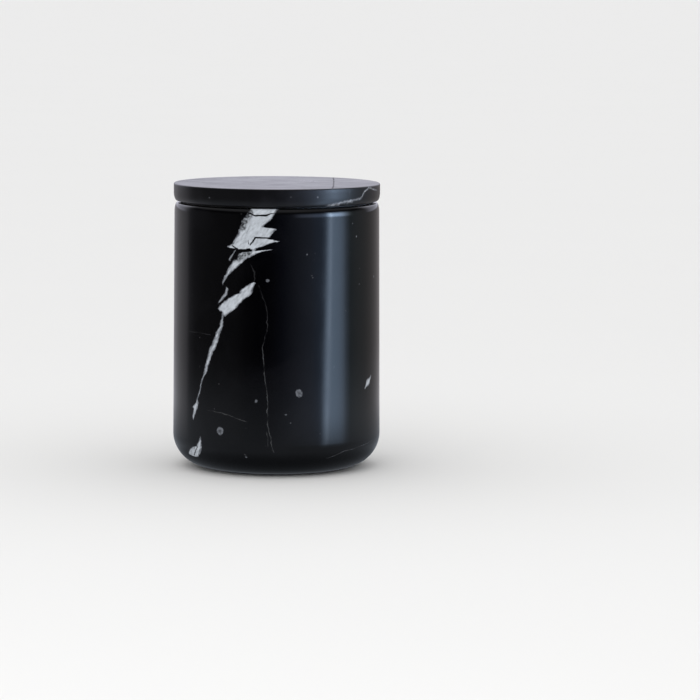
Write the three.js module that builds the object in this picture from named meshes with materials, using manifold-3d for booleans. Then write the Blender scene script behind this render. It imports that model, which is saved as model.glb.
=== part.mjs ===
// A lidded round jar turned from black marble, with a liner that holds the cream.
// Millimetres, +Z up. The origin is the centre of the base, on the surface that the jar stands on.

import * as THREE from 'three';
import { mergeVertices } from 'three/addons/utils/BufferGeometryUtils.js';
import Module from 'manifold-3d';

const wasm = await Module();
wasm.setup();

// Driving dimensions.
const OVERALL_HEIGHT = 116;
const LID_RADIUS = 42;
const BODY_TOP_RADIUS = 41.75;
const BODY_BASE_RADIUS = 42.35;
const LID_THICKNESS = 7.1;
const SEAM_GAP = 0.8;
const WALL_THICKNESS = 7.2;
const FLOOR_THICKNESS = 10;
const BASE_ROUNDING = 13.3;

// Fits between neighbours.
const REST_GAP = 0.1;
const RUNNING_GAP = 0.3;
const LINER_GAP = 0.9;

// Jar body.
const RIM_Z = OVERALL_HEIGHT - LID_THICKNESS - SEAM_GAP;
const RIM_OUTER_ROUNDING = 1.5;
const RIM_INNER_ROUNDING = 0.6;
const BORE_RADIUS = BODY_TOP_RADIUS - WALL_THICKNESS;
const BORE_CORNER = 8;
const COLLAR_RADIUS = BORE_RADIUS + 2.4;
const LEDGE_Z = RIM_Z - 11.6;

// Base pad, let into the underside and standing a little proud of it.
const PAD_RADIUS = 26;
const PAD_THICKNESS = 1.3;
const STAND_OFF = 0.5;
const PAD_EDGE = 0.2;

// Lid.
const LID_TOP_EDGE = 0.5;
const LID_UNDERCUT_WIDTH = 1.2;
const LID_UNDERCUT_HEIGHT = 3.4;
const SPIGOT_RADIUS = COLLAR_RADIUS - 1.9;
const SPIGOT_DEPTH = 6.2;
const SPIGOT_CHAMFER = 0.6;

// Gasket: a sleeve round the spigot with two lips, and a flange that the lid rests on.
const GASKET_FLANGE_RADIUS = BODY_TOP_RADIUS - 2.6;
const GASKET_SLEEVE_DEPTH = 5.2;
const GASKET_SLEEVE_THICKNESS = 0.8;
const GASKET_LIP_HEIGHT = 1;
const GASKET_LIP_SPACING = 2.2;

// Liner.
const LINER_RADIUS = BORE_RADIUS - LINER_GAP;
const LINER_WALL = 1.4;
const LINER_CORNER = 8.5;
const LINER_FLANGE_RADIUS = COLLAR_RADIUS - 0.6;
const LINER_FLANGE_THICKNESS = 1.4;

// Sealing disc, with a pull tab that folds flat.
const DISC_RADIUS = LINER_FLANGE_RADIUS - 0.7;
const DISC_THICKNESS = 0.9;
const DISC_EDGE = 0.25;
const TAB_WIDTH = 15;
const TAB_LENGTH = 13;
const TAB_THICKNESS = 0.7;
const TAB_LIFT = 0.6;
const TAB_ROOT = 2;

const FINE_SEGMENTS = 64;
const PLAIN_SEGMENTS = 48;

function finish(colour, roughness) {
  return new THREE.MeshStandardMaterial({ color: colour, roughness, metalness: 0 });
}

const MARBLE = 0x131419;
const BLACK_SILICONE = 0x17171a;
const WHITE_PLASTIC = 0xf0efea;
const CLEAR_PLASTIC = 0xe2e6e8;
const DARK_PAD = 0x232325;

// Points of an elliptical arc in the (radius, height) half plane, angles in degrees from the radius axis.
function arc(centreRadius, centreZ, width, height, startDegrees, endDegrees, steps) {
  const points = [];
  for (let i = 0; i <= steps; i += 1) {
    const angle = THREE.MathUtils.degToRad(startDegrees + ((endDegrees - startDegrees) * i) / steps);
    points.push(new THREE.Vector2(
      centreRadius + width * Math.cos(angle),
      centreZ + height * Math.sin(angle),
    ));
  }
  return points;
}

function point(radius, z) {
  return new THREE.Vector2(radius, z);
}

// Revolves a profile about Z. The profile runs anticlockwise, with the material on its left.
function turned(profile, segments) {
  const geometry = new THREE.LatheGeometry(profile, segments);
  geometry.rotateX(Math.PI / 2);
  return geometry;
}

function named(name, geometry, material) {
  const mesh = new THREE.Mesh(geometry, material);
  mesh.name = name;
  return mesh;
}

function jarBody() {
  const padSeatZ = PAD_THICKNESS + REST_GAP;
  const padSeatRadius = PAD_RADIUS + RUNNING_GAP;
  const profile = [
    point(0, padSeatZ),
    point(padSeatRadius, padSeatZ),
    point(padSeatRadius, STAND_OFF),
    ...arc(
      BODY_BASE_RADIUS - BASE_ROUNDING, STAND_OFF + BASE_ROUNDING,
      BASE_ROUNDING, BASE_ROUNDING, -90, 0, 10,
    ),
    ...arc(
      BODY_TOP_RADIUS - RIM_OUTER_ROUNDING, RIM_Z - RIM_OUTER_ROUNDING,
      RIM_OUTER_ROUNDING, RIM_OUTER_ROUNDING, 0, 90, 4,
    ),
    ...arc(
      COLLAR_RADIUS + RIM_INNER_ROUNDING, RIM_Z - RIM_INNER_ROUNDING,
      RIM_INNER_ROUNDING, RIM_INNER_ROUNDING, 90, 180, 2,
    ),
    point(COLLAR_RADIUS, LEDGE_Z),
    point(BORE_RADIUS, LEDGE_Z),
    ...arc(
      BORE_RADIUS - BORE_CORNER, FLOOR_THICKNESS + BORE_CORNER,
      BORE_CORNER, BORE_CORNER, 0, -90, 6,
    ),
    point(0, FLOOR_THICKNESS),
  ];
  return named('jar_body', turned(profile, FINE_SEGMENTS), finish(MARBLE, 0.14));
}

function basePad() {
  const profile = [
    point(0, 0),
    point(PAD_RADIUS - PAD_EDGE, 0),
    point(PAD_RADIUS, PAD_EDGE),
    point(PAD_RADIUS, PAD_THICKNESS),
    point(0, PAD_THICKNESS),
  ];
  return named('base_pad', turned(profile, PLAIN_SEGMENTS), finish(DARK_PAD, 0.9));
}

function lid() {
  const undersideZ = OVERALL_HEIGHT - LID_THICKNESS;
  const spigotZ = undersideZ - SPIGOT_DEPTH;
  const profile = [
    point(0, spigotZ),
    point(SPIGOT_RADIUS - SPIGOT_CHAMFER, spigotZ),
    point(SPIGOT_RADIUS, spigotZ + SPIGOT_CHAMFER),
    point(SPIGOT_RADIUS, undersideZ),
    ...arc(
      LID_RADIUS - LID_UNDERCUT_WIDTH, undersideZ + LID_UNDERCUT_HEIGHT,
      LID_UNDERCUT_WIDTH, LID_UNDERCUT_HEIGHT, -90, 0, 7,
    ),
    ...arc(
      LID_RADIUS - LID_TOP_EDGE, OVERALL_HEIGHT - LID_TOP_EDGE,
      LID_TOP_EDGE, LID_TOP_EDGE, 0, 90, 3,
    ),
    point(0, OVERALL_HEIGHT),
  ];
  return named('lid', turned(profile, FINE_SEGMENTS), finish(MARBLE, 0.14));
}

// One sealing lip, a rounded ridge on the outside of the gasket's sleeve.
function gasketLip(sleeveRadius, lipZ) {
  const lipReach = COLLAR_RADIUS - RUNNING_GAP - sleeveRadius;
  return arc(sleeveRadius, lipZ, lipReach, GASKET_LIP_HEIGHT / 2, -90, 90, 4);
}

function lidGasket() {
  const topZ = OVERALL_HEIGHT - LID_THICKNESS - REST_GAP;
  const flangeZ = RIM_Z + REST_GAP;
  const bottomZ = topZ - GASKET_SLEEVE_DEPTH;
  const innerRadius = SPIGOT_RADIUS + RUNNING_GAP;
  const sleeveRadius = innerRadius + GASKET_SLEEVE_THICKNESS;
  const lowLipZ = bottomZ + GASKET_LIP_HEIGHT;
  const profile = [
    point(innerRadius, bottomZ),
    point(sleeveRadius, bottomZ),
    ...gasketLip(sleeveRadius, lowLipZ),
    ...gasketLip(sleeveRadius, lowLipZ + GASKET_LIP_SPACING),
    point(sleeveRadius, flangeZ),
    point(GASKET_FLANGE_RADIUS, flangeZ),
    point(GASKET_FLANGE_RADIUS, topZ),
    point(innerRadius, topZ),
    point(innerRadius, bottomZ),
  ];
  return named('lid_gasket', turned(profile, PLAIN_SEGMENTS), finish(BLACK_SILICONE, 0.6));
}

function innerCup() {
  const flangeZ = LEDGE_Z + REST_GAP;
  const topZ = flangeZ + LINER_FLANGE_THICKNESS;
  const bottomZ = FLOOR_THICKNESS + RUNNING_GAP;
  const insideRadius = LINER_RADIUS - LINER_WALL;
  const insideCorner = LINER_CORNER - LINER_WALL;
  const profile = [
    point(0, bottomZ),
    ...arc(
      LINER_RADIUS - LINER_CORNER, bottomZ + LINER_CORNER,
      LINER_CORNER, LINER_CORNER, -90, 0, 5,
    ),
    point(LINER_RADIUS, flangeZ),
    point(LINER_FLANGE_RADIUS, flangeZ),
    point(LINER_FLANGE_RADIUS, topZ),
    point(insideRadius, topZ),
    ...arc(
      insideRadius - insideCorner, bottomZ + LINER_CORNER,
      insideCorner, insideCorner, 0, -90, 5,
    ),
    point(0, bottomZ + LINER_WALL),
  ];
  return named('inner_cup', turned(profile, PLAIN_SEGMENTS), finish(WHITE_PLASTIC, 0.35));
}

// A three.js geometry as a manifold solid.
function solid(geometry) {
  const bare = geometry.index ? geometry.toNonIndexed() : geometry.clone();
  bare.deleteAttribute('normal');
  bare.deleteAttribute('uv');
  const merged = mergeVertices(bare, 1e-4);
  return new wasm.Manifold(new wasm.Mesh({
    numProp: 3,
    vertProperties: merged.attributes.position.array,
    triVerts: withoutSlivers(merged.index.array),
  }));
}

// The triangles with three different corners. A turned profile that meets the axis makes some without.
function withoutSlivers(index) {
  const kept = [];
  for (let i = 0; i < index.length; i += 3) {
    const [a, b, c] = index.slice(i, i + 3);
    if (a !== b && b !== c && c !== a) {
      kept.push(a, b, c);
    }
  }
  return new Uint32Array(kept);
}

function geometryOf(manifold) {
  const mesh = manifold.getMesh();
  const geometry = new THREE.BufferGeometry();
  geometry.setAttribute('position', new THREE.BufferAttribute(mesh.vertProperties, 3));
  geometry.setIndex(new THREE.BufferAttribute(mesh.triVerts, 1));
  geometry.computeVertexNormals();
  return geometry;
}

// A flat D shape, straight across its root and round at its free end, rising from the given height.
function tabPlate(length, z, thickness) {
  const half = TAB_WIDTH / 2;
  const outline = new THREE.Shape();
  outline.moveTo(-half, 0);
  outline.lineTo(half, 0);
  if (length > half) {
    outline.lineTo(half, length - half);
    outline.absarc(0, length - half, half, 0, Math.PI, false);
  } else {
    outline.lineTo(half, length);
    outline.lineTo(-half, length);
  }
  outline.closePath();
  const geometry = new THREE.ExtrudeGeometry(outline, {
    depth: thickness,
    bevelEnabled: false,
    curveSegments: 8,
  });
  geometry.translate(0, -TAB_LENGTH / 2, z);
  return geometry;
}

function sealingDisc() {
  const bottomZ = LEDGE_Z + REST_GAP + LINER_FLANGE_THICKNESS + REST_GAP;
  const topZ = bottomZ + DISC_THICKNESS;
  const plateZ = topZ + TAB_LIFT;
  const rootZ = bottomZ + DISC_THICKNESS / 2;
  const disc = turned([
    point(0, bottomZ),
    point(DISC_RADIUS - DISC_EDGE, bottomZ),
    point(DISC_RADIUS, bottomZ + DISC_EDGE),
    point(DISC_RADIUS, topZ - DISC_EDGE),
    point(DISC_RADIUS - DISC_EDGE, topZ),
    point(0, topZ),
  ], PLAIN_SEGMENTS);
  const root = tabPlate(TAB_ROOT, rootZ, plateZ + TAB_THICKNESS / 2 - rootZ);
  const plate = tabPlate(TAB_LENGTH, plateZ, TAB_THICKNESS);
  const joined = solid(disc).add(solid(root)).add(solid(plate));
  return named('sealing_disc', geometryOf(joined), finish(CLEAR_PLASTIC, 0.3));
}

const jar = new THREE.Group();
jar.name = 'cream_jar';
jar.add(jarBody(), basePad(), innerCup(), sealingDisc(), lidGasket(), lid());

export default jar;
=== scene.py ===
"""Looks of a lidded cream jar turned from polished black marble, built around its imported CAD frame.

Blender objects are in metres. Profiles, veins and marks are written in millimetres and scaled by MM.
"""

import math

import bmesh
import bpy
from mathutils import Matrix, Vector


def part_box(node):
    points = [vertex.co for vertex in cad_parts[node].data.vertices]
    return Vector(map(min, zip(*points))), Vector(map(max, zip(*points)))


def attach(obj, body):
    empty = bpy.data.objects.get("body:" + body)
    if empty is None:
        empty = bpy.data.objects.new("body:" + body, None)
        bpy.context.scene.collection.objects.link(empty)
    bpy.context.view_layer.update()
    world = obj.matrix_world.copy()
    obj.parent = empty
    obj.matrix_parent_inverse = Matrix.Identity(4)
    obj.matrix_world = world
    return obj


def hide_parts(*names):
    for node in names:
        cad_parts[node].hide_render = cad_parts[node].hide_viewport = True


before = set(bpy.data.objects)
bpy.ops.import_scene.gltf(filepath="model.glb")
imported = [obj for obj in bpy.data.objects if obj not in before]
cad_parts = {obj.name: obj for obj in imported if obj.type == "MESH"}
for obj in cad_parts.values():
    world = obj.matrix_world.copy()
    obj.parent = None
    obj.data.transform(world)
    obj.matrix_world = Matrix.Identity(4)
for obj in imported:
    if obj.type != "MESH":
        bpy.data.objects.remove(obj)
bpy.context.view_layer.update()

MM = 0.001


# ---------------------------------------------------------------- sizes, in millimetres

def box_mm(node):
    """A CAD node's lowest and highest corner in millimetres."""
    low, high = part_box(node)
    return low / MM, high / MM


BODY_LOW, BODY_HIGH = box_mm("jar_body")
LID_LOW, LID_HIGH = box_mm("lid")
GASKET_LOW, GASKET_HIGH = box_mm("lid_gasket")
CUP_LOW, CUP_HIGH = box_mm("inner_cup")
DISC_LOW, DISC_HIGH = box_mm("sealing_disc")
PAD_LOW, PAD_HIGH = box_mm("base_pad")

BODY_BASE_RADIUS = BODY_HIGH.x
BODY_TOP_RADIUS = LID_HIGH.x - 0.25
BASE_ROUNDING = 13.3
COLLAR_RADIUS = BODY_TOP_RADIUS - 4.8
BORE_RADIUS = COLLAR_RADIUS - 2.4
LEDGE_Z = BODY_HIGH.z - 11.6
FLOOR_Z = 10
BORE_CORNER = 8
LINER_WALL = 1.4
LINER_CORNER = 8.5
GASKET_SLEEVE = 0.8
LID_THICKNESS = 7.1

# Width and height of the two soft edges.
RIM_ROUNDING = (1.2, 3.8)
LID_UNDERCUT = (1.2, 3.4)

# Gaps between neighbours.
GLUE_GAP = 0.1
REST_GAP = 0.1
PAD_GAP = 0.3
GASKET_GAP = 0.3
LINER_GAP = 0.9
SPIGOT_GAP = 1.9
SPIGOT_RADIUS = COLLAR_RADIUS - SPIGOT_GAP


# ---------------------------------------------------------------- the camera

# Distance and height in metres, lens and sensor in millimetres, angles in degrees.
CAMERA_DISTANCE = 1.400
CAMERA_HEIGHT = 0.2072
CAMERA_LENS = 176.85
SENSOR_WIDTH = 36
CAMERA_PITCH = 6.51
CAMERA_YAW = 1.23
CAMERA_ROLL = 0.27


def make_camera():
    """A long lens a little above the lid, aimed to the right of the jar."""
    data = bpy.data.cameras.new("camera")
    data.lens = CAMERA_LENS
    data.sensor_width = SENSOR_WIDTH
    data.clip_start = 0.05
    data.clip_end = 200
    camera = bpy.data.objects.new("camera", data)
    bpy.context.scene.collection.objects.link(camera)
    turn = Matrix.Rotation(math.radians(-CAMERA_YAW), 4, "Z")
    tilt = Matrix.Rotation(math.radians(90 - CAMERA_PITCH), 4, "X")
    roll = Matrix.Rotation(math.radians(CAMERA_ROLL), 4, "Z")
    place = Matrix.Translation((0, -CAMERA_DISTANCE, CAMERA_HEIGHT))
    camera.matrix_world = place @ turn @ tilt @ roll
    bpy.context.scene.camera = camera


# ---------------------------------------------------------------- mesh building

ARC_STEP = 0.3
LONGEST_STEP = 2.0
ON_AXIS = 1e-6


def arc(centre, radii, start, end):
    """Points (radius, height) of an elliptical arc. Its angles are in degrees from the radius axis."""
    length = math.radians(abs(end - start)) * max(radii)
    steps = max(6, math.ceil(length / ARC_STEP))
    angles = [math.radians(start + (end - start) * i / steps) for i in range(steps + 1)]
    x, y = centre
    width, height = radii
    return [Vector((x + width * math.cos(a), y + height * math.sin(a))) for a in angles]


def rounded(corners, closed=False):
    """The outline through corners (radius, height, rounding). Each rounding is the radius of an arc."""
    points = []
    for i, (radius, height, rounding) in enumerate(corners):
        here = Vector((radius, height))
        at_end = not closed and i in (0, len(corners) - 1)
        if rounding == 0 or at_end:
            points.append(here)
            continue
        before = (Vector(corners[i - 1][:2]) - here).normalized()
        after = (Vector(corners[(i + 1) % len(corners)][:2]) - here).normalized()
        half = before.angle(after) / 2
        middle = here + (before + after).normalized() * rounding / math.sin(half)
        first = here + before * rounding / math.tan(half) - middle
        last = here + after * rounding / math.tan(half) - middle
        turn = math.atan2(first.x * last.y - first.y * last.x, first.dot(last))
        steps = max(4, math.ceil(abs(turn) * rounding / ARC_STEP))
        for k in range(steps + 1):
            points.append(middle + Matrix.Rotation(turn * k / steps, 2) @ first)
    return points


def with_short_steps(points, closed=False):
    """The same outline with points added so that no step is longer than LONGEST_STEP."""
    dense = []
    ends = points[1:] + points[:1] if closed else points[1:]
    for start, end in zip(points, ends):
        steps = max(1, math.ceil((end - start).length / LONGEST_STEP))
        dense += [start.lerp(end, k / steps) for k in range(steps)]
    return dense if closed else dense + points[-1:]


def new_piece(name, mesh_builder, material):
    """A smooth-shaded object made from a bmesh."""
    mesh = bpy.data.meshes.new(name)
    bmesh.ops.recalc_face_normals(mesh_builder, faces=mesh_builder.faces)
    mesh_builder.to_mesh(mesh)
    mesh_builder.free()
    mesh.polygons.foreach_set("use_smooth", [True] * len(mesh.polygons))
    mesh.materials.append(material)
    piece = bpy.data.objects.new(name, mesh)
    bpy.context.scene.collection.objects.link(piece)
    return piece


def turned(outline, segments, closed=False):
    """A bmesh solid of revolution about Z. An open outline starts and ends on the axis."""
    made = bmesh.new()
    rings = []
    for point in with_short_steps(outline, closed):
        if point.x < ON_AXIS:
            rings.append([made.verts.new((0, 0, point.y * MM))])
            continue
        ring = []
        for i in range(segments):
            angle = 2 * math.pi * i / segments
            ring.append(made.verts.new((
                point.x * math.cos(angle) * MM,
                point.x * math.sin(angle) * MM,
                point.y * MM,
            )))
        rings.append(ring)
    pairs = list(zip(rings, rings[1:]))
    if closed:
        pairs.append((rings[-1], rings[0]))
    for low, high in pairs:
        for i in range(segments):
            j = (i + 1) % segments
            corners = [low[i % len(low)], low[j % len(low)], high[j % len(high)], high[i % len(high)]]
            made.faces.new(list(dict.fromkeys(corners)))
    return made


def finished(piece, body, slot, *nodes):
    """Puts a piece on its CAD body, in place of CAD nodes. The slot argument is not used."""
    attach(piece, body)
    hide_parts(*nodes)
    return piece


# ---------------------------------------------------------------- material building

class Nodes:
    """A node tree. Each method adds one node, fed by numbers or by other nodes' outputs."""

    def __init__(self, tree):
        self.tree = tree

    def add(self, kind, inputs, output=0, **settings):
        node = self.tree.nodes.new(kind)
        for key, value in settings.items():
            setattr(node, key, value)
        for key, value in inputs.items():
            self.feed(node.inputs[key], value)
        return node.outputs[output]

    def feed(self, socket, value):
        if isinstance(value, bpy.types.NodeSocket):
            self.tree.links.new(value, socket)
        else:
            socket.default_value = value

    def math(self, operation, a, b=0.0, c=0.0):
        return self.add("ShaderNodeMath", {0: a, 1: b, 2: c}, operation=operation)

    def vector(self, operation, a, b=(0, 0, 0), c=(0, 0, 0)):
        output = "Value" if operation in ("DOT_PRODUCT", "LENGTH", "DISTANCE") else "Vector"
        inputs = {0: a}
        if operation != "LENGTH":
            inputs[1] = b
        if operation == "MULTIPLY_ADD":
            inputs[2] = c
        return self.add("ShaderNodeVectorMath", inputs, output, operation=operation)

    def position(self):
        return self.add("ShaderNodeTexCoord", {}, "Object")

    def scale(self, vector, factor):
        return self.add("ShaderNodeVectorMath", {0: vector, "Scale": factor}, operation="SCALE")

    def split(self, vector):
        node = self.tree.nodes.new("ShaderNodeSeparateXYZ")
        self.feed(node.inputs[0], vector)
        return node.outputs

    def noise(self, place, scale, detail=2.0, roughness=0.5, distortion=0.0, output="Fac"):
        inputs = {
            "Vector": place, "Scale": scale, "Detail": detail,
            "Roughness": roughness, "Distortion": distortion,
        }
        return self.add("ShaderNodeTexNoise", inputs, output)

    def cells(self, place, scale):
        return self.add("ShaderNodeTexVoronoi", {"Vector": place, "Scale": scale}, "Distance")

    def fade(self, value, low, high, start=0.0, end=1.0):
        """value from low to high becomes start to end, and stays there outside."""
        inputs = {"Value": value, "From Min": low, "From Max": high, "To Min": start, "To Max": end}
        return self.add("ShaderNodeMapRange", inputs, "Result", interpolation_type="SMOOTHSTEP")

    def mix(self, amount, first, second):
        """A colour between first and second."""
        node = self.tree.nodes.new("ShaderNodeMix")
        node.data_type = "RGBA"
        self.feed(node.inputs[0], amount)
        self.feed(node.inputs[6], first)
        self.feed(node.inputs[7], second)
        return node.outputs[2]

    def curve(self, value, points, low, high):
        """value through straight lines between points (value, result). Results are from low to high."""
        first, last = points[0][0], points[-1][0]
        scaled = self.math("MULTIPLY_ADD", value, 1 / (last - first), -first / (last - first))
        node = self.tree.nodes.new("ShaderNodeFloatCurve")
        node.mapping.extend = "HORIZONTAL"
        line = node.mapping.curves[0]
        ends = [line.points[0], line.points[1]]
        for end, (_, result) in zip(ends, (points[0], points[-1])):
            end.location.y = (result - low) / (high - low)
        for place, result in points[1:-1]:
            line.points.new((place - first) / (last - first), (result - low) / (high - low))
        for knot in line.points:
            knot.handle_type = "VECTOR"
        node.mapping.update()
        self.feed(node.inputs["Value"], scaled)
        return self.math("MULTIPLY_ADD", node.outputs[0], high - low, low)

    def bump(self, height, distance, strength):
        inputs = {"Height": height, "Distance": distance, "Strength": strength}
        return self.add("ShaderNodeBump", inputs, "Normal")


class Shader(Nodes):
    """The nodes of a new material."""

    def __init__(self, name):
        self.material = bpy.data.materials.new(name)
        self.material.use_nodes = True
        super().__init__(self.material.node_tree)
        self.surface = self.tree.nodes["Principled BSDF"]

    def set(self, **values):
        for key, value in values.items():
            self.feed(self.surface.inputs[key.replace("_", " ")], value)


# ---------------------------------------------------------------- marble

BODY_BLACK = (0.0006, 0.0006, 0.0008, 1)
BODY_CHARCOAL = (0.0022, 0.0022, 0.0028, 1)
LID_BLACK = (0.0030, 0.0030, 0.0038, 1)
LID_CHARCOAL = (0.0085, 0.0085, 0.0105, 1)
CALCITE = (0.545, 0.585, 0.64, 1)
CALCITE_GREY = (0.14, 0.15, 0.172, 1)
VEIN_GREY = (0.105, 0.107, 0.115, 1)

# Markings are laid out on the jar's developed side, which has this radius.
PATTERN_RADIUS = 42
# A vein that runs down the jar closes over this height at each end.
VEIN_END = 0.4
# How far the streaks in the white lean, in radians.
STREAK_ANGLE = 0.7
# Added to a marking's depth, this hides it.
HIDDEN = -4
# How far the sheets through the stone bend, slowly and in small jogs.
SHEET_BENDS = (22, 2.4)


def thin_vein(half_width, points):
    """A vein of even width along points (height, degrees), in the form of WHITE_VEINS."""
    half = math.degrees(half_width / PATTERN_RADIUS)
    return [(height, degrees - half, degrees + half) for height, degrees in points]


# A vein that runs down the jar: (height, left edge, right edge). The edges are in degrees round the jar
# from its front, and a left edge past the right one is a gap. Heights go on round the base rounding and
# over the rim as if the side went straight on.
UPPER_PATCH = [
    (92.2, -21, -18), (92.5, -26, -12.5), (92.9, -28.2, -10.5), (94.3, -25.2, -4.5),
    (95, -24.7, -2), (95.5, -24.2, 1.2), (96.6, -23.2, -5), (97.6, -22.2, -3.6), (98.7, -21.6, -3),
    (99.8, -21.2, -1.8), (100.6, -20.9, -0.4), (100.9, -20.8, -3.5), (101.2, -20.6, -7.8),
    (102.2, -20.1, -7.2), (103.6, -19.4, -4.5), (105, -18, -2.3), (107.9, -15.5, -0.4),
    (110, -14, 1),
]
STRAND = [
    (5, -57.5, -52), (6, -61, -50), (8.4, -57.6, -47.6), (10.3, -54.3, -46.5), (11, -52.9, -46.2),
    (11.4, -50.2, -45.9), (13.8, -47.9, -45.7), (15.9, -46, -45.8), (16.3, -46.4, -49.5),
    (19, -50, -53), (21, -52, -53.6), (23.5, -53.2, -51.3), (26.4, -51.7, -49),
    (27.2, -53.4, -48.4), (28, -51.5, -48.1), (29.4, -49.3, -47.4), (30.4, -49.2, -48.3),
    (32.4, -48.4, -47.6), (36.4, -46.6, -45.9), (39.5, -45, -44.2), (41, -44.1, -42.9),
    (42.4, -43.4, -41.3), (44.5, -42.9, -40.5), (46.3, -42.3, -39.4), (50.6, -39.9, -37.3),
    (54.3, -37.4, -34.2), (58.2, -35, -32.7), (61.4, -32.6, -30.8), (65.2, -30.9, -29.9),
    (67.4, -30.5, -30.7), (70.3, -33.6, -33.8), (70.9, -33.2, -32), (73.5, -30.3, -28.1),
    (76.1, -28.7, -27.4), (77, -28.3, -28.6), (77.6, -30.4, -30.8), (78.2, -30.9, -30.1),
    (80.3, -29.8, -28.5), (81.9, -28.8, -26.7), (84, -27.3, -23.8), (86, -25.9, -20.9),
    (87.2, -24.6, -18.4), (88.5, -22.4, -16.6), (89.8, -21.3, -13.1), (90.8, -20.4, -11),
    (91.5, -16.2, -8.4), (91.8, -12, -5), (92.1, -6, -2.4), (92.3, -2.8, -2.4),
]
SLANTED_PATCH = [
    (65, -29.7, -29.1), (65.4, -30, -28.7), (66.6, -31, -26.5), (67.9, -33.6, -24),
    (68.6, -33, -22.6), (70, -31.2, -20.9), (71.6, -28.4, -18.7), (72.8, -25.6, -16.6),
    (73.9, -23.6, -14), (74.7, -20.5, -13.4), (76.4, -19.9, -12.8), (77.6, -16.6, -12.2),
    (78.6, -14.2, -11.8), (79, -12.6, -11.9),
]
WHITE_VEINS = [UPPER_PATCH, STRAND, SLANTED_PATCH]

# Strokes of a marking: (degrees round the jar from its front, height, half width), along each stroke.
WHITE_STROKES = [
    [(57.9, 34.6, 0.2), (61.3, 37.1, 1.45), (64.8, 39.6, 0.1)],
    [(-12.3, 93.4, 0.9), (-12.3, 91.4, 0.7)],
    [(-23, 91.8, 0.1), (-26.2, 87.8, 0.35)],
]

# Dark cracks across the white.
CRACKS = [
    [(-2, 97.0, 0.3), (-11.4, 97.1, 0.3), (-14.2, 94.3, 0.3)],
    [(-25, 93.5, 0.25), (-21.2, 91.9, 0.4), (-14.5, 92.5, 0.4)],
    [(-15.6, 95.8, 0.08), (-15.3, 94.6, 0.18)],
    [(-16, 107, 0.35), (-12, 105.9, 0.3), (-6.5, 106, 0.4), (-1, 107.3, 0.1)],
    [(-21.7, 91.0, 0.7), (-22.6, 88.8, 0.7)],
    [(-49, 11.5, 0.1), (-54.6, 6, 0.25)],
    [(-47.4, 10.6, 0.05), (-50.3, 6, 0.2)],
    [(-51.4, 12, 0.3), (-52.4, 9.6, 0.08)],
]

# Places where the white is broken up by dark stone.
BROKEN = [
    [(-15.2, 107, 1.5), (-18.6, 104, 1.9), (-19.2, 101, 1.2)],
    [(-22.5, 88, 0.9), (-15, 91, 1.0)],
]

# Fine grey veins that run down the jar, with (height, degrees) along each.
HAIR_VEINS = [
    thin_vein(0.12, [
        (11, -1.9), (12.7, -2.6), (19.4, -4.2), (24, -4.9), (31, -4.9), (36, -5.4), (41, -6.3),
        (47, -7.1), (54, -7.4), (62, -4.5), (69, -5.7), (74, -7.4), (78, -9.7),
    ]),
]

# Fine grey veins that run more level: strokes as above.
HAIR_STROKES = [
    [(-41, 26.7, 0.06), (-28, 25.9, 0.12), (-16, 23.4, 0.04)],
    [(-57, 57.6, -0.02), (-39, 57, 0.02)],
    [(66, 12.6, 0.03), (41, 9.9, 0.12), (29.5, 6.6, 0.1)],
    [(-5.7, 19.4, 0.06), (-5, 14, 0.03)],
    [(-14.6, 86.4, 0.05), (-12, 83.4, 0.2), (-12, 79.6, 0.1)],
]

# Small pale marks: (degrees round from the front, height, radius).
SPECKS = [
    (-32.1, 19, 1.6), (11.9, 35, 1.5), (-11.8, 31.8, 0.6), (5.4, 26.4, 0.35), (7.5, 23.1, 0.2),
    (-5.1, 79.9, 0.6), (16.4, 90, 0.3), (46, 102, 0.2), (49.5, 96.7, 0.35), (68.7, 79.2, 0.4),
    (52.5, 76.9, 0.2), (-17.1, 8, 0.5),
]

# Sheets of calcite through the stone behind its front: (direction across, offset, half width).
WHITE_SHEETS = [
    ((0.86, 0.10, 0.50), 30, 1.5),
    ((0.80, -0.20, -0.56), -40, 0.6),
    ((0.35, 0.90, -0.25), 20, 0.9),
]
HAIR_SHEETS = [
    ((0.20, 0.10, 0.97), 42, 0.14),
    ((0.70, 0.50, 0.51), 74, 0.16),
]


def developed(degrees, height):
    """A place on the jar's side as millimetres along its developed surface."""
    return (math.radians(degrees) * PATTERN_RADIUS, height, 0)


def developed_position(shader, place):
    """The shaded point on the developed surface. Faces inside its radius go on past the nearer edge."""
    x, y, z = shader.split(place)
    angle = shader.math("ARCTAN2", x, shader.math("MULTIPLY", y, -1))
    along = shader.math("MULTIPLY", angle, PATTERN_RADIUS)
    radius = shader.vector("LENGTH", shader.vector("MULTIPLY", place, (1 / MM, 1 / MM, 0)))
    inset = shader.math("SUBTRACT", PATTERN_RADIUS, radius)
    upward = shader.fade(z, 0.040, 0.060, -1, 1)
    height = shader.math("MULTIPLY", z, 1 / MM)
    height = shader.math("MULTIPLY_ADD", inset, upward, height)
    return shader.add("ShaderNodeCombineXYZ", {0: along, 1: height})


def stroke_depth(shader, point, strokes, deepest=None):
    """How far inside any of the strokes the point is, in millimetres; below 0 is outside."""
    for stroke in strokes:
        for (a0, z0, w0), (a1, z1, w1) in zip(stroke, stroke[1:]):
            start = Vector(developed(a0, z0))
            run = Vector(developed(a1, z1)) - start
            offset = shader.vector("SUBTRACT", point, start)
            share = shader.vector("DOT_PRODUCT", offset, run / run.length_squared)
            share = shader.math("MAXIMUM", shader.math("MINIMUM", share, 1), 0)
            away = shader.vector("DISTANCE", offset, shader.scale(run, share))
            width = shader.math("MULTIPLY_ADD", share, w1 - w0, w0)
            depth = shader.math("SUBTRACT", width, away)
            deepest = depth if deepest is None else shader.math("MAXIMUM", deepest, depth)
    return deepest


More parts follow.
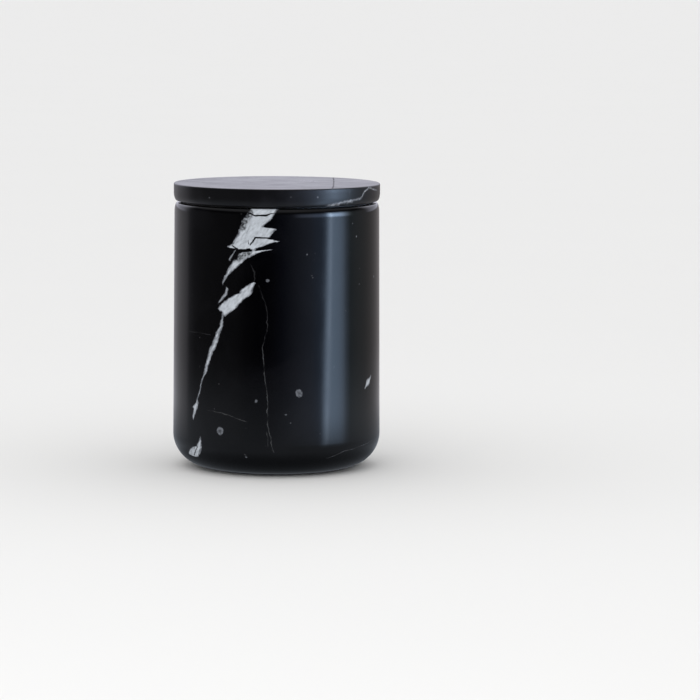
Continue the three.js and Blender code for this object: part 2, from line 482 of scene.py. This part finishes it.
def shut_row(row, step):
    """The row a step beyond a vein's last one, with its edges well past each other."""
    height, left, right = row
    overlap = 4
    return height + step, left + overlap, right - overlap


def vein_depth(shader, along, height, veins, deepest=None):
    """How far inside any of the veins that run down the jar the point is, in millimetres."""
    for vein in veins:
        vein = [shut_row(vein[0], -VEIN_END), *vein, shut_row(vein[-1], VEIN_END)]
        edges = []
        for side in (1, 2):
            points = [(row[0], math.radians(row[side]) * PATTERN_RADIUS) for row in vein]
            places = [place for _, place in points]
            edges.append(shader.curve(height, points, min(places), max(places)))
        past_left = shader.math("SUBTRACT", along, edges[0])
        past_right = shader.math("SUBTRACT", edges[1], along)
        depth = shader.math("MINIMUM", past_left, past_right)
        deepest = depth if deepest is None else shader.math("MAXIMUM", deepest, depth)
    return deepest


def sheet_depth(shader, place, sheets, deepest=None):
    """How far inside any of the sheets through the stone the place is, in millimetres."""
    for across, offset, half_width in sheets:
        reach = shader.vector("DOT_PRODUCT", place, Vector(across).normalized())
        away = shader.math("ABSOLUTE", shader.math("SUBTRACT", reach, offset))
        depth = shader.math("SUBTRACT", half_width, away)
        deepest = depth if deepest is None else shader.math("MAXIMUM", deepest, depth)
    return deepest


def speck_depth(shader, point, specks):
    """How far inside any of the round marks the point is, in millimetres."""
    deepest = None
    for degrees, height, radius in specks:
        away = shader.vector("DISTANCE", point, developed(degrees, height))
        depth = shader.math("SUBTRACT", radius, away)
        deepest = depth if deepest is None else shader.math("MAXIMUM", deepest, depth)
    return deepest


def even(value):
    """A vector with the same value three times."""
    return (value, value, value)


class Marble(Shader):
    """Polished black marble. The marks are added over the ground one kind after another."""

    def __init__(self, name, black, charcoal):
        super().__init__(name)
        self.place = self.position()
        flat = developed_position(self, self.place)
        swirl = self.noise(self.place, 130, 2, output="Color")
        ripple = self.noise(self.place, 900, 3, 0.6, output="Color")
        shift = self.vector("MULTIPLY_ADD", swirl, (2.0, 1.2, 0), (-1.5, -0.9, 0))
        shift = self.vector("MULTIPLY_ADD", ripple, (1.0, 0.6, 0), shift)
        self.point = self.vector("ADD", flat, shift)
        self.along, self.height, _ = self.split(self.point)
        self.colour = self.ground(black, charcoal)
        self.matt = 0

    def ground(self, black, charcoal):
        """Black with slow clouds and a few small grains."""
        cloud = self.noise(self.place, 38, 4, 0.6, 0.6)
        ground = self.mix(self.fade(cloud, 0.4, 0.7), black, charcoal)
        grains = self.fade(self.cells(self.place, 420), 0.16, 0.06)
        rare = self.fade(self.noise(self.place, 170, 2), 0.62, 0.72, 0, 0.5)
        return self.mix(self.math("MULTIPLY", grains, rare), ground, VEIN_GREY)

    def bent_place(self, bend, jog):
        """The shaded point in millimetres, bent so that flat sheets through it wander and jog."""
        bends = self.noise(self.place, 28, 3, 0.55, output="Color")
        jogs = self.noise(self.place, 240, 2, 0.6, output="Color")
        place = self.vector("MULTIPLY_ADD", self.place, even(1 / MM), even(-(bend + jog) / 2))
        place = self.vector("MULTIPLY_ADD", bends, even(bend), place)
        return self.vector("MULTIPLY_ADD", jogs, even(jog), place)

    def add_hairs(self, depth, share=1.0):
        """Fine grey veins, broken along their length. The share is how much of them shows."""
        breaks = self.noise(self.place, 260, 2)
        strength = self.fade(breaks, 0.3, 0.62, 0.05, 0.5)
        amount = self.math("MULTIPLY", self.fade(depth, -0.2, 0.12), strength)
        amount = self.math("MULTIPLY", amount, share)
        self.matt = amount
        self.colour = self.mix(amount, self.colour, VEIN_GREY)

    def add_specks(self, specks):
        """Pale round marks. The large ones are mottled and darker in the middle."""
        depth = speck_depth(self, self.point, specks)
        mottle = self.fade(self.noise(self.place, 1300, 3, 0.7), 0.3, 0.6, 0.2, 1.2)
        hollow = self.fade(depth, 0.5, 1.3, 1.0, 0.4)
        tone = self.math("MULTIPLY", mottle, hollow)
        amount = self.math("MULTIPLY", self.fade(depth, -0.2, 0.3), tone)
        self.colour = self.mix(amount, self.colour, CALCITE_GREY)

    def add_white(self, depth, cracks=(), broken=()):
        """Calcite, greyer towards its edges, with slanting streaks, cracks and broken places."""
        turn = {"Vector": self.point, "Angle": STREAK_ANGLE}
        slanted = self.add("ShaderNodeVectorRotate", turn, rotation_type="Z_AXIS")
        slanted = self.vector("MULTIPLY", slanted, (1.0, 0.3, 1.0))
        ragged = self.noise(slanted, 1.5, 4, 0.65)
        depth = self.math("ADD", depth, self.math("MULTIPLY_ADD", ragged, 1.6, -0.8))
        amount = self.fade(depth, -0.25, 0.25)
        if cracks:
            open_stone = self.fade(stroke_depth(self, self.point, cracks), -0.2, 0.15, 1, 0)
            amount = self.math("MULTIPLY", amount, open_stone)
        if broken:
            near = self.fade(stroke_depth(self, self.point, broken), -0.8, 0.6)
            clots = self.fade(self.noise(self.point, 0.9, 3, 0.6), 0.40, 0.64, 0.9, 0.35)
            whole = self.math("SUBTRACT", 1, self.math("MULTIPLY", near, clots))
            amount = self.math("MULTIPLY", amount, whole)
        streaks = self.noise(slanted, 1.0, 4, 0.65)
        tone = self.math("MULTIPLY_ADD", streaks, 2.4, self.math("MINIMUM", depth, 1.0))
        tone = self.fade(tone, 1.1, 2.65)
        self.colour = self.mix(amount, self.colour, self.mix(tone, CALCITE_GREY, CALCITE))

    def finish(self, low_roughness, high_roughness, waviness):
        """Polish, uneven between two roughnesses, with a waviness in metres."""
        wear = self.noise(self.place, 55, 5, 0.65)
        polish = self.noise(self.place, 320, 2, 0.5)
        roughness = self.fade(wear, 0.3, 0.7, low_roughness, high_roughness)
        self.set(
            Base_Color=self.colour,
            Roughness=self.math("ADD", roughness, self.matt),
            Specular_IOR_Level=0.3,
            Normal=self.bump(polish, waviness, 0.5),
        )
        return self.material


def body_marble():
    """Glossy marble. The sheets through it show behind the front, and the drawn veins on the front."""
    marble = Marble("polished_body", BODY_BLACK, BODY_CHARCOAL)
    behind = marble.fade(marble.split(marble.place)[1], 0.004, 0.012, HIDDEN, 0)
    bent = marble.bent_place(*SHEET_BENDS)
    hair = sheet_depth(marble, bent, HAIR_SHEETS)
    hair = marble.math("ADD", hair, behind)
    hair = stroke_depth(marble, marble.point, HAIR_STROKES, hair)
    hair = vein_depth(marble, marble.along, marble.height, HAIR_VEINS, hair)
    fainter_above = marble.fade(marble.height, 40, 75, 1, 0.3)
    marble.add_hairs(hair, fainter_above)
    marble.add_specks(SPECKS)
    white = sheet_depth(marble, bent, WHITE_SHEETS)
    white = marble.math("ADD", white, behind)
    white = stroke_depth(marble, marble.point, WHITE_STROKES, white)
    white = vein_depth(marble, marble.along, marble.height, WHITE_VEINS, white)
    marble.add_white(white, CRACKS, BROKEN)
    return marble.finish(0.07, 0.12, 0.00001)


# The lid's markings, in the same forms.
LID_STROKES = [
    [(26.3, 109.3, 0.3), (32, 110.1, 0.35), (38, 110.6, 0.3), (46, 110.7, 0.35), (53, 111.6, 0.3)],
    [(53, 111.6, 0.3), (56.7, 114, 0.3), (61.5, 115.4, 0.35), (66, 114.7, 0.3), (73, 113.8, 0.2)],
]
LID_SPECKS = [(-40, 112, 0.25), (22.5, 112.7, 0.35), (8, 113, 0.2)]
LID_HAIR_SHEETS = [
    ((0.45, 0.88, 0.15), 4, 0.13),
    ((-0.62, 0.76, 0.20), 52, 0.18),
]
# A nearly straight hair across the lid's top.
LID_TOP_HAIR = [((1, -0.02, 0), 23, 0.22)]


def lid_marble():
    """The same marble with a more matt hone."""
    marble = Marble("polished_lid", LID_BLACK, LID_CHARCOAL)
    top = LID_HIGH.z * MM
    top_only = marble.fade(marble.split(marble.place)[2], top - 0.0010, top - 0.0004, HIDDEN, 0)
    hair = sheet_depth(marble, marble.bent_place(1, 0.8), LID_TOP_HAIR)
    hair = marble.math("ADD", hair, top_only)
    hair = sheet_depth(marble, marble.bent_place(*SHEET_BENDS), LID_HAIR_SHEETS, hair)
    marble.add_hairs(hair)
    marble.add_specks(LID_SPECKS)
    marble.add_white(stroke_depth(marble, marble.point, LID_STROKES))
    return marble.finish(0.27, 0.37, 0.000003)


# ---------------------------------------------------------------- the two marble pieces

def make_jar_body():
    """The turned stone shell: base rounding, side, rim, collar, ledge and bore."""
    stand_off = BODY_LOW.z
    seat_z = PAD_HIGH.z + GLUE_GAP
    seat_radius = PAD_HIGH.x + PAD_GAP
    foot_radius = BODY_BASE_RADIUS - BASE_ROUNDING
    rim_z = BODY_HIGH.z
    outline = rounded([
        (0, seat_z, 0),
        (seat_radius, seat_z, 0.2),
        (seat_radius, stand_off, 0.15),
        (foot_radius, stand_off, 0),
    ])
    outline += arc((foot_radius, stand_off + BASE_ROUNDING), (BASE_ROUNDING, BASE_ROUNDING), -90, 0)[1:]
    rim_inset = BODY_TOP_RADIUS - RIM_ROUNDING[0]
    outline += arc((rim_inset, rim_z - RIM_ROUNDING[1]), RIM_ROUNDING, 0, 90)
    outline += rounded([
        (rim_inset, rim_z, 0),
        (COLLAR_RADIUS, rim_z, 0.6),
        (COLLAR_RADIUS, LEDGE_Z, 0.3),
        (BORE_RADIUS, LEDGE_Z, 0.3),
        (BORE_RADIUS, FLOOR_Z, BORE_CORNER),
        (0, FLOOR_Z, 0),
    ])[1:]
    piece = new_piece("jar_body_marble", turned(outline, 256), body_marble())
    return finished(piece, "jar", "marble_body", "jar_body")


def make_lid():
    """The turned stone lid: spigot, undercut edge, crisp top edge."""
    under_z = LID_HIGH.z - LID_THICKNESS
    radius = LID_HIGH.x
    outline = rounded([
        (0, LID_LOW.z, 0),
        (SPIGOT_RADIUS, LID_LOW.z, 0.7),
        (SPIGOT_RADIUS, under_z, 0.3),
        (radius - LID_UNDERCUT[0], under_z, 0),
    ])
    outline += arc((radius - LID_UNDERCUT[0], under_z + LID_UNDERCUT[1]), LID_UNDERCUT, -90, 0)[1:]
    outline += rounded([
        (radius, under_z + LID_UNDERCUT[1], 0),
        (radius, LID_HIGH.z, 0.5),
        (0, LID_HIGH.z, 0),
    ])[1:]
    piece = new_piece("lid_marble", turned(outline, 256), lid_marble())
    return finished(piece, "lid", "marble_lid", "lid")


# ---------------------------------------------------------------- gasket, liner, sealing disc and pad

def silicone():
    shader = Shader("black_silicone")
    place = shader.position()
    dust = shader.noise(place, 240, 4, 0.6)
    grain = shader.noise(place, 4000, 2)
    colour = shader.mix(shader.fade(dust, 0.45, 0.75), (0.008, 0.008, 0.009, 1), (0.02, 0.02, 0.021, 1))
    shader.set(
        Base_Color=colour,
        Roughness=shader.fade(dust, 0.3, 0.7, 0.5, 0.65),
        Sheen_Weight=0.15,
        Normal=shader.bump(grain, 0.00002, 0.5),
    )
    return shader.material


def liner_plastic():
    shader = Shader("white_liner")
    place = shader.position()
    stretched = shader.vector("MULTIPLY", place, (1, 1, 0.12))
    flow = shader.noise(stretched, 160, 3, 0.55)
    grain = shader.noise(place, 2600, 2)
    colour = shader.mix(flow, (0.80, 0.79, 0.75, 1), (0.88, 0.875, 0.85, 1))
    shader.set(
        Base_Color=colour,
        Roughness=shader.fade(flow, 0.3, 0.7, 0.3, 0.42),
        Normal=shader.bump(grain, 0.00001, 0.4),
    )
    return shader.material


def film_plastic():
    shader = Shader("milky_film")
    place = shader.position()
    level = shader.vector("MULTIPLY", place, (1, 1, 0))
    rings = shader.math("SINE", shader.math("MULTIPLY", shader.vector("LENGTH", level), 2600))
    haze = shader.noise(place, 140, 4, 0.6)
    colour = shader.mix(haze, (0.62, 0.66, 0.69, 1), (0.80, 0.83, 0.85, 1))
    shader.set(
        Base_Color=colour,
        Roughness=shader.fade(haze, 0.3, 0.7, 0.22, 0.38),
        Normal=shader.bump(rings, 0.00002, 0.35),
    )
    return shader.material


def pad_rubber():
    shader = Shader("dark_rubber")
    place = shader.position()
    grain = shader.cells(place, 1400)
    scuff = shader.noise(place, 90, 4, 0.6)
    colour = shader.mix(scuff, (0.012, 0.012, 0.013, 1), (0.035, 0.035, 0.036, 1))
    shader.set(
        Base_Color=colour,
        Roughness=shader.fade(scuff, 0.3, 0.7, 0.75, 0.95),
        Normal=shader.bump(grain, 0.0001, 0.6),
    )
    return shader.material


def make_gasket():
    """A sleeve with two rounded lips, and a flange between the lid and the rim."""
    inner = SPIGOT_RADIUS + GASKET_GAP
    sleeve = inner + GASKET_SLEEVE
    flange_z = BODY_HIGH.z + REST_GAP
    top = GASKET_HIGH.z
    bottom = GASKET_LOW.z
    lip = (COLLAR_RADIUS - GASKET_GAP - sleeve, 0.5)
    below_lips = bottom + 0.45
    above_lips = bottom + 3.8
    outline = rounded([(inner, bottom, 0), (sleeve, bottom, 0.2), (sleeve, below_lips, 0)])
    for lip_z in (bottom + 1, bottom + 3.2):
        outline += arc((sleeve, lip_z), lip, -90, 90)
    outline += rounded([
        (sleeve, above_lips, 0),
        (sleeve, flange_z, 0.15),
        (GASKET_HIGH.x, flange_z, 0.15),
        (GASKET_HIGH.x, top, 0.15),
        (inner, top, 0),
    ])
    piece = new_piece("gasket_silicone", turned(outline, 192, closed=True), silicone())
    return finished(piece, "seal", "gasket_silicone", "lid_gasket")


def make_inner_cup():
    """A thin plastic cup hung by a rounded flange."""
    outside = BORE_RADIUS - LINER_GAP
    inside = outside - LINER_WALL
    top = CUP_HIGH.z
    flange_z = LEDGE_Z + REST_GAP
    outline = rounded([
        (0, CUP_LOW.z, 0),
        (outside, CUP_LOW.z, LINER_CORNER),
        (outside, flange_z, 0.2),
        (CUP_HIGH.x, flange_z, 0.35),
        (CUP_HIGH.x, top, 0.35),
        (inside, top, 0.5),
        (inside, CUP_LOW.z + LINER_WALL, LINER_CORNER - LINER_WALL),
        (0, CUP_LOW.z + LINER_WALL, 0),
    ])
    piece = new_piece("inner_cup_plastic", turned(outline, 192), liner_plastic())
    return finished(piece, "cup", "liner_plastic", "inner_cup")


TAB_HALF_WIDTH = 7.5
TAB_START = -6.5
TAB_LENGTH = 13
TAB_THICKNESS = 0.7
TAB_ROOT_LENGTH = 2


def square_end(y):
    """The two corners of an end at a distance y along the tab."""
    return [(TAB_HALF_WIDTH, y), (-TAB_HALF_WIDTH, y)]


def round_end(y):
    """A half circle that reaches a distance y along the tab."""
    steps = 24
    angles = [math.pi * i / steps for i in range(steps + 1)]
    middle = y - TAB_HALF_WIDTH
    return [(TAB_HALF_WIDTH * math.cos(a), middle + TAB_HALF_WIDTH * math.sin(a)) for a in angles]


def tab_solid(far_end, low_z, high_z):
    """A flat plate from the tab's start to its far end, as a bmesh solid."""
    outline = [(-TAB_HALF_WIDTH, TAB_START), (TAB_HALF_WIDTH, TAB_START), *far_end]
    made = bmesh.new()
    base = made.faces.new([made.verts.new((x * MM, y * MM, low_z * MM)) for x, y in outline])
    lifted = bmesh.ops.extrude_face_region(made, geom=[base])["geom"]
    moved = [item for item in lifted if isinstance(item, bmesh.types.BMVert)]
    bmesh.ops.translate(made, verts=moved, vec=(0, 0, (high_z - low_z) * MM))
    return made


def join_solid(piece, other):
    """Joins another solid into a piece by a boolean union."""
    union = piece.modifiers.new("join", "BOOLEAN")
    union.operation = "UNION"
    union.solver = "EXACT"
    union.object = other
    graph = bpy.context.evaluated_depsgraph_get()
    mesh = bpy.data.meshes.new_from_object(piece.evaluated_get(graph))
    piece.modifiers.clear()
    piece.data = mesh
    bpy.data.objects.remove(other)


def make_sealing_disc():
    """A thin disc with a raised rim, and a pull tab that lies folded over it."""
    thickness = 0.9
    dish = 0.3
    overlap = 0.3
    low = DISC_LOW.z
    top = low + thickness
    tab_top = DISC_HIGH.z
    material = film_plastic()
    outline = rounded([
        (0, low, 0),
        (DISC_HIGH.x, low, 0.25),
        (DISC_HIGH.x, top, 0.25),
        (DISC_HIGH.x - 2.2, top, 0.1),
        (DISC_HIGH.x - 2.6, top - dish, 0.1),
        (0, top - dish, 0),
    ])
    piece = new_piece("sealing_disc_film", turned(outline, 192), material)
    root = tab_solid(square_end(TAB_START + TAB_ROOT_LENGTH), low + overlap, tab_top - overlap)
    plate = tab_solid(round_end(TAB_START + TAB_LENGTH), tab_top - TAB_THICKNESS, tab_top)
    join_solid(piece, new_piece("tab_root", root, material))
    join_solid(piece, new_piece("tab_plate", plate, material))
    return finished(piece, "disc", "disc_plastic", "sealing_disc")


def make_base_pad():
    """A flat rubber disc."""
    outline = rounded([
        (0, 0, 0),
        (PAD_HIGH.x, 0, 0.2),
        (PAD_HIGH.x, PAD_HIGH.z, 0.1),
        (0, PAD_HIGH.z, 0),
    ])
    piece = new_piece("base_pad_rubber", turned(outline, 128), pad_rubber())
    return finished(piece, "jar", "pad_rubber", "base_pad")


# ---------------------------------------------------------------- floor, world and lights

# In metres.
FLOOR_SIZE = 120
GLOW_HEIGHT = 0.0001
GLOW_RADIUS = 0.7

FLOOR_COLOUR = (0.82, 0.82, 0.82, 1)
FLOOR_MOTTLE = (0.81, 0.81, 0.81, 1)
# The colour of the painted floor reflection.
GLOW_COLOUR = (0.84, 0.92, 1.04, 1)
BACKGROUND = (0.84, 0.84, 0.84, 1)
ROOM_LIGHT = (1.025, 1.022, 1.015, 1)


def make_floor():
    """A pale sheet of paper, which the polished stone does not reflect."""
    shader = Shader("floor_paper")
    mottle = shader.noise(shader.position(), 6, 3, 0.5)
    shader.set(
        Base_Color=shader.mix(mottle, FLOOR_COLOUR, FLOOR_MOTTLE),
        Roughness=0.9,
        Specular_IOR_Level=0.1,
    )
    made = bmesh.new()
    half = FLOOR_SIZE / 2
    corners = ((-half, -half), (half, -half), (half, half), (-half, half))
    made.faces.new([made.verts.new((x, y, 0)) for x, y in corners])
    floor = new_piece("floor", made, shader.material)
    floor.visible_glossy = False


def make_floor_glow():
    """A painted reflection of the floor, on a card that glows only in the polish: bright close to the
    jar and dimming away from it.
    """
    shader = Shader("floor_glow")
    level = shader.vector("MULTIPLY", shader.position(), (1, 1, 0))
    away = shader.vector("LENGTH", level)
    clearness = shader.fade(away, 0.06, 0.26)
    strength = shader.fade(away, 0.10, 0.54, 0.42, 0.0)
    # Painted shadow of the jar: the glow is dimmed where the jar stands on the floor.
    jar_shadow = shader.fade(away, 0.040, 0.060, 0.4, 1.0)
    strength = shader.math("MULTIPLY", strength, jar_shadow)
    # Painted dimming of the reflected floor behind the jar.
    dimmer_behind = shader.fade(shader.split(level)[1], -0.05, 0.15, 1.0, 0.5)
    strength = shader.math("MULTIPLY", strength, dimmer_behind)
    clear = shader.add("ShaderNodeBsdfTransparent", {"Color": clearness})
    glow = shader.add("ShaderNodeEmission", {"Color": GLOW_COLOUR, "Strength": strength})
    both = shader.add("ShaderNodeAddShader", {0: clear, 1: glow})
    shader.feed(shader.tree.nodes["Material Output"].inputs["Surface"], both)
    height = GLOW_HEIGHT / MM
    disc = turned([Vector((0, height)), Vector((GLOW_RADIUS / MM, height))], 64)
    card = new_piece("floor_glow", disc, shader.material)
    card.visible_camera = False
    card.visible_diffuse = False
    card.visible_shadow = False


# What the polished stone reflects, by direction: (degrees round from the front, red, green, blue).
STUDIO_RING = [
    (-180, 0.40, 0.39, 0.43),
    (-150, 0.46, 0.45, 0.48),
    (-128, 0.46, 0.45, 0.48),
    (-121, 0.42, 0.41, 0.45),
    (-114, 0.17, 0.17, 0.19),
    (-104, 0.10, 0.10, 0.11),
    (-70, 0.10, 0.10, 0.11),
    (-46, 0.09, 0.09, 0.10),
    (-34, 0.03, 0.03, 0.04),
    (-20, 0.0, 0.0, 0.01),
    (-6, 0.02, 0.02, 0.04),
    (6, 0.07, 0.08, 0.13),
    (22, 0.22, 0.25, 0.35),
    (38, 0.37, 0.44, 0.62),
    (48, 0.45, 0.60, 0.90),
    (53, 0.75, 1.02, 1.50),
    (57, 3.0, 4.0, 5.5),
    (60.5, 4.9, 6.3, 8.3),
    (63, 3.1, 4.1, 5.6),
    (67, 2.7, 3.7, 5.1),
    (74, 2.3, 3.1, 4.3),
    (79, 1.75, 2.3, 3.1),
    (84, 0.80, 1.02, 1.35),
    (90, 0.36, 0.44, 0.50),
    (100, 0.38, 0.42, 0.45),
    (117, 0.34, 0.34, 0.35),
    (130, 0.34, 0.32, 0.32),
    (180, 0.40, 0.37, 0.38),
]
REAR_SKY = (1.0, 1.0, 1.15, 1)
FRONT_SKY = (0.55, 0.55, 0.58, 1)
# The strip light's left edge is in this direction and leans to either side of it by this much.
STRIP_EDGE = math.radians(56)
STRIP_LEAN = 0.065
# The strip is this many times brighter above the horizon, where the rounded rim reflects it.
STRIP_LIFT = 3.4


def studio_ring(nodes, turn):
    """The ring's colour at a turn of 0 to 1, from behind round by the left."""
    strongest = max(max(row[1:]) for row in STUDIO_RING)
    ramp = nodes.tree.nodes.new("ShaderNodeValToRGB")
    nodes.feed(ramp.inputs[0], turn)
    stops = ramp.color_ramp.elements
    stops.remove(stops[1])
    for i, (degrees, *rgb) in enumerate(STUDIO_RING):
        place = (degrees + 180) / 360
        stop = stops[0] if i == 0 else stops.new(place)
        stop.position = place
        stop.color = [value / strongest for value in rgb] + [1]
    return nodes.scale(ramp.outputs[0], strongest)


def make_world():
    """A pale room for the camera and soft light, and a studio with a strip light for reflections."""
    world = bpy.data.worlds.new("studio")
    world.use_nodes = True
    bpy.context.scene.world = world
    nodes = Nodes(world.node_tree)
    direction = nodes.add("ShaderNodeTexCoord", {}, "Generated")
    x, y, z = nodes.split(direction)
    azimuth = nodes.math("ARCTAN2", x, nodes.math("MULTIPLY", y, -1))
    past_edge = nodes.math("ABSOLUTE", nodes.math("SUBTRACT", azimuth, STRIP_EDGE))
    lean = nodes.fade(z, -0.15, -0.05, STRIP_LEAN, -STRIP_LEAN)
    azimuth = nodes.math("MULTIPLY_ADD", nodes.fade(past_edge, 0.08, 0.25, 1, 0), lean, azimuth)
    ring = studio_ring(nodes, nodes.math("MULTIPLY_ADD", azimuth, 0.5 / math.pi, 0.5))

    near_strip = nodes.fade(past_edge, 0.5, 0.7, 1, 0)
    lift = nodes.math("MULTIPLY", near_strip, nodes.fade(z, -0.05, 0.05))
    lift = nodes.math("MULTIPLY_ADD", lift, STRIP_LIFT - 1, 1)
    ring_ends = nodes.fade(z, 0.12, 0.35, 1.0, 0.0)
    ring = nodes.scale(ring, nodes.math("MULTIPLY", lift, ring_ends))

    rear = nodes.math("ADD", nodes.fade(z, 0.0, 0.05), nodes.fade(z, 0.15, 0.5, 0.0, 1.3))
    front = nodes.fade(z, 0.30, 0.62)
    behind = nodes.fade(y, 0.3, 0.7)
    amount = nodes.math("MULTIPLY_ADD", behind, nodes.math("SUBTRACT", rear, front), front)
    sky = nodes.scale(nodes.mix(behind, FRONT_SKY, REAR_SKY), amount)
    studio = nodes.vector("MAXIMUM", ring, sky)

    path = nodes.tree.nodes.new("ShaderNodeLightPath")
    seen = nodes.mix(path.outputs["Is Glossy Ray"], ROOM_LIGHT, studio)
    seen = nodes.mix(path.outputs["Is Camera Ray"], seen, BACKGROUND)
    nodes.feed(nodes.tree.nodes["Background"].inputs["Color"], seen)


def make_light(name, place, target, size, power, colour):
    """A square soft light that lights surfaces without showing in the polish."""
    data = bpy.data.lights.new(name, "AREA")
    data.size = size
    data.energy = power
    data.color = colour
    light = bpy.data.objects.new(name, data)
    bpy.context.scene.collection.objects.link(light)
    light.location = place
    light.rotation_mode = "QUATERNION"
    light.rotation_quaternion = (Vector(target) - Vector(place)).to_track_quat("-Z", "Y")
    light.visible_camera = False
    light.visible_glossy = False


def make_lights():
    make_light("front", (-0.1, -0.8, 0.6), (-0.1, -0.78, 0), 0.4, 0.85, (1.0, 1.0, 1.0))
    make_light("key", (-0.6, -1.0, 1.3), (0, 0, 0.05), 0.8, 1.0, (1.0, 0.99, 0.98))


# ---------------------------------------------------------------- the scene

make_camera()
make_jar_body()
make_lid()
make_gasket()
make_inner_cup()
make_sealing_disc()
make_base_pad()
make_floor()
make_floor_glow()
make_world()
make_lights()
bpy.context.scene.view_settings.view_transform = "Standard"
